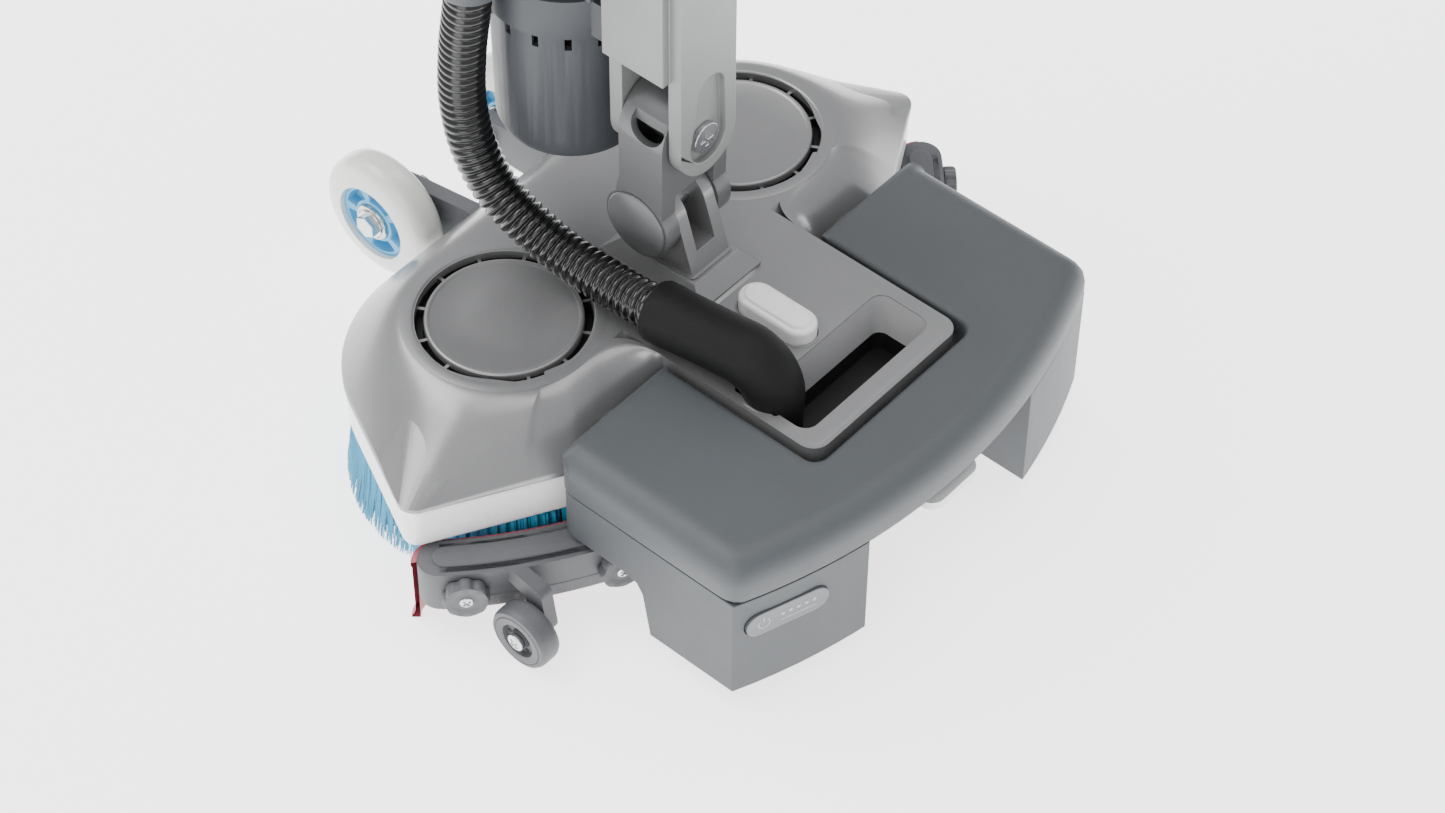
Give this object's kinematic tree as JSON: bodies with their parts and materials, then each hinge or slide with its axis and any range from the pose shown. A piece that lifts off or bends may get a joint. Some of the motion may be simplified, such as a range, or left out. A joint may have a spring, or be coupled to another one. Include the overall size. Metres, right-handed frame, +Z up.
{
  "type": "wet dry floor scrubber",
  "caption": "Walk-behind wet and dry floor scrubber: low brush deck with curved squeegee, horseshoe battery, tilting column with suction hose, tanks and handle.",
  "frame": {"origin": "on the floor, straight below the pitch axis of the universal joint, with the column upright", "axes": "+X to the machine's right seen from behind the handle, +Y forward towards the transport wheels, +Z up"},
  "size_m": [0.4206, 0.399, 1.1585],
  "materials": {
    "deck_silver": "satin",
    "white_plastic": "gloss",
    "black_plastic": "matte",
    "motor_grey": "satin",
    "cast_grey": "satin",
    "zinc": "satin",
    "black_rubber": "matte",
    "dark_plastic": "satin",
    "hose_black": "gloss",
    "white_tyre": "gloss",
    "blue_plastic": "satin",
    "bearing_steel": "polished",
    "blue_bristle": "matte",
    "red_rubber": "satin",
    "dark_rubber": "matte",
    "slate_plastic": "textured",
    "cell_metal": "satin",
    "column_grey": "satin",
    "clear_grey": "gloss",
    "white_tank": "satin"
  },
  "bodies": {
    "deck": {"deck_cover": "deck_silver", "skirt": "white_plastic", "chassis": "black_plastic", "motor_caps": "deck_silver", "vent_rings": "black_plastic", "brush_motors": "motor_grey", "pivot_bracket": "cast_grey", "pitch_pin": "zinc", "button_spring": "zinc", "recess_tray": "black_plastic", "suction_elbow": "black_rubber", "wheel_brackets": "dark_plastic", "wheel_bolts": "zinc", "hose_lower": "hose_black"},
    "deck_button": {"deck_button": "white_plastic"},
    "foot_pedal": {"foot_pedal": "white_plastic"},
    "left_wheel": {"left_tyre": "white_tyre", "left_wheel_core": "blue_plastic", "left_bearings": "bearing_steel"},
    "right_wheel": {"right_tyre": "white_tyre", "right_wheel_core": "blue_plastic", "right_bearings": "bearing_steel"},
    "left_brush": {"left_brush_plate": "dark_plastic", "left_bristles": "blue_bristle"},
    "right_brush": {"right_brush_plate": "dark_plastic", "right_bristles": "blue_bristle"},
    "squeegee": {"squeegee_frame": "dark_plastic", "squeegee_blades": "red_rubber", "roller_screws": "zinc"},
    "left_outer_knob": {"left_outer_knob": "dark_plastic"},
    "left_inner_knob": {"left_inner_knob": "dark_plastic"},
    "right_inner_knob": {"right_inner_knob": "dark_plastic"},
    "right_outer_knob": {"right_outer_knob": "dark_plastic"},
    "left_roller": {"left_roller": "dark_rubber"},
    "right_roller": {"right_roller": "dark_rubber"},
    "battery": {"battery_top": "slate_plastic", "battery_case": "slate_plastic", "battery_cells": "cell_metal", "battery_gauge": "dark_plastic"},
    "yoke": {"yoke": "cast_grey", "yoke_caps": "slate_plastic"},
    "column": {"lower_column": "cast_grey", "upper_column": "column_grey", "motor_housing": "slate_plastic", "suction_motor": "motor_grey", "roll_bolt": "zinc", "hose_clip": "slate_plastic", "hose_upper": "hose_black", "tank_shelves": "dark_plastic", "handle_tube": "column_grey", "handle_head": "slate_plastic", "grips": "black_rubber"},
    "recovery_tank": {"recovery_tank": "slate_plastic"},
    "recovery_lid": {"recovery_lid": "clear_grey", "float_valve": "white_plastic"},
    "float_ball": {"float_ball": "blue_plastic"},
    "solution_tank": {"solution_tank": "white_tank"},
    "filler_cap": {"filler_cap": "blue_plastic"},
    "trigger": {"trigger": "blue_plastic"},
    "power_button": {"power_button": "blue_plastic"}
  },
  "joints": [
    {"name": "deck_button_press", "type": "slide", "parent": "deck", "child": "deck_button", "axis": [0, 0, -1], "range_m": [0, 0.004], "stiffness_N_per_m": 400, "springref_m": -0.002, "deforming": ["button_spring"]},
    {"name": "foot_pedal_press", "type": "hinge", "parent": "deck", "child": "foot_pedal", "pos_m": [0, -0.157, 0.067], "axis": [1, 0, 0], "range_deg": [0, 12], "stiffness_Nm_per_rad": 0.6, "springref_deg": -5.73},
    {"name": "left_wheel_spin", "type": "hinge", "parent": "deck", "child": "left_wheel", "pos_m": [-0.052, 0.1615, 0.071], "axis": [1, 0, 0], "continuous": true},
    {"name": "right_wheel_spin", "type": "hinge", "parent": "deck", "child": "right_wheel", "pos_m": [0.052, 0.1615, 0.071], "axis": [1, 0, 0], "continuous": true},
    {"name": "left_brush_spin", "type": "hinge", "parent": "deck", "child": "left_brush", "pos_m": [-0.092, 0.033, 0.03], "axis": [0, 0, 1], "continuous": true},
    {"name": "right_brush_spin", "type": "hinge", "parent": "deck", "child": "right_brush", "pos_m": [0.092, 0.033, 0.03], "axis": [0, 0, 1], "continuous": true},
    {"name": "squeegee_lift", "type": "hinge", "parent": "deck", "child": "squeegee", "pos_m": [0, -0.05, 0.0505], "axis": [-1, 0, 0], "range_deg": [0, 2.5]},
    {"name": "left_outer_knob_turn", "type": "hinge", "parent": "squeegee", "child": "left_outer_knob", "pos_m": [-0.19558, -0.03344, 0.033], "axis": [-0.6756, -0.7373, 0], "continuous": true},
    {"name": "left_inner_knob_turn", "type": "hinge", "parent": "squeegee", "child": "left_inner_knob", "pos_m": [-0.12917, -0.07908, 0.033], "axis": [-0.4462, -0.8949, 0], "continuous": true},
    {"name": "right_inner_knob_turn", "type": "hinge", "parent": "squeegee", "child": "right_inner_knob", "pos_m": [0.12917, -0.07908, 0.033], "axis": [0.4462, -0.8949, 0], "continuous": true},
    {"name": "right_outer_knob_turn", "type": "hinge", "parent": "squeegee", "child": "right_outer_knob", "pos_m": [0.19558, -0.03344, 0.033], "axis": [0.6756, -0.7373, 0], "continuous": true},
    {"name": "left_roller_spin", "type": "hinge", "parent": "squeegee", "child": "left_roller", "pos_m": [-0.187, -0.067, 0.0185], "axis": [1, 0, 0], "continuous": true},
    {"name": "right_roller_spin", "type": "hinge", "parent": "squeegee", "child": "right_roller", "pos_m": [0.187, -0.067, 0.0185], "axis": [1, 0, 0], "continuous": true},
    {"name": "battery_slide", "type": "slide", "parent": "deck", "child": "battery", "axis": [0, -1, 0], "range_m": [0, 0.14]},
    {"name": "column_pitch", "type": "hinge", "parent": "deck", "child": "yoke", "pos_m": [0, 0, 0.149], "axis": [1, 0, 0], "range_deg": [0, 75], "deforming": ["hose_lower", "hose_upper"]},
    {"name": "column_roll", "type": "hinge", "parent": "yoke", "child": "column", "pos_m": [0, 0, 0.208], "axis": [0, 1, 0], "range_deg": [-45, 45], "deforming": ["hose_lower", "hose_upper"]},
    {"name": "recovery_tank_slide", "type": "slide", "parent": "column", "child": "recovery_tank", "axis": [0, 1, 0], "range_m": [0, 0.12]},
    {"name": "recovery_lid_lift", "type": "slide", "parent": "recovery_tank", "child": "recovery_lid", "axis": [0, 0, 1], "range_m": [0, 0.07]},
    {"name": "float_rise", "type": "slide", "parent": "recovery_lid", "child": "float_ball", "axis": [0, 0, 1], "range_m": [0, 0.034]},
    {"name": "solution_tank_slide", "type": "slide", "parent": "column", "child": "solution_tank", "axis": [0, 1, 0], "range_m": [0, 0.12]},
    {"name": "filler_cap_lift", "type": "slide", "parent": "solution_tank", "child": "filler_cap", "axis": [0, 0, 1], "range_m": [0, 0.03]},
    {"name": "trigger_squeeze", "type": "hinge", "parent": "column", "child": "trigger", "pos_m": [0, -0.03, 1.13], "axis": [1, 0, 0], "range_deg": [0, 10], "stiffness_Nm_per_rad": 0.5, "springref_deg": -5.73},
    {"name": "power_press", "type": "slide", "parent": "column", "child": "power_button", "axis": [0, 0, -1], "range_m": [0, 0.002], "stiffness_N_per_m": 500, "springref_m": -0.002}
  ],
  "couplings": [
    {"joint": "right_brush_spin", "follows": "left_brush_spin", "ratio": -1}
  ]
}
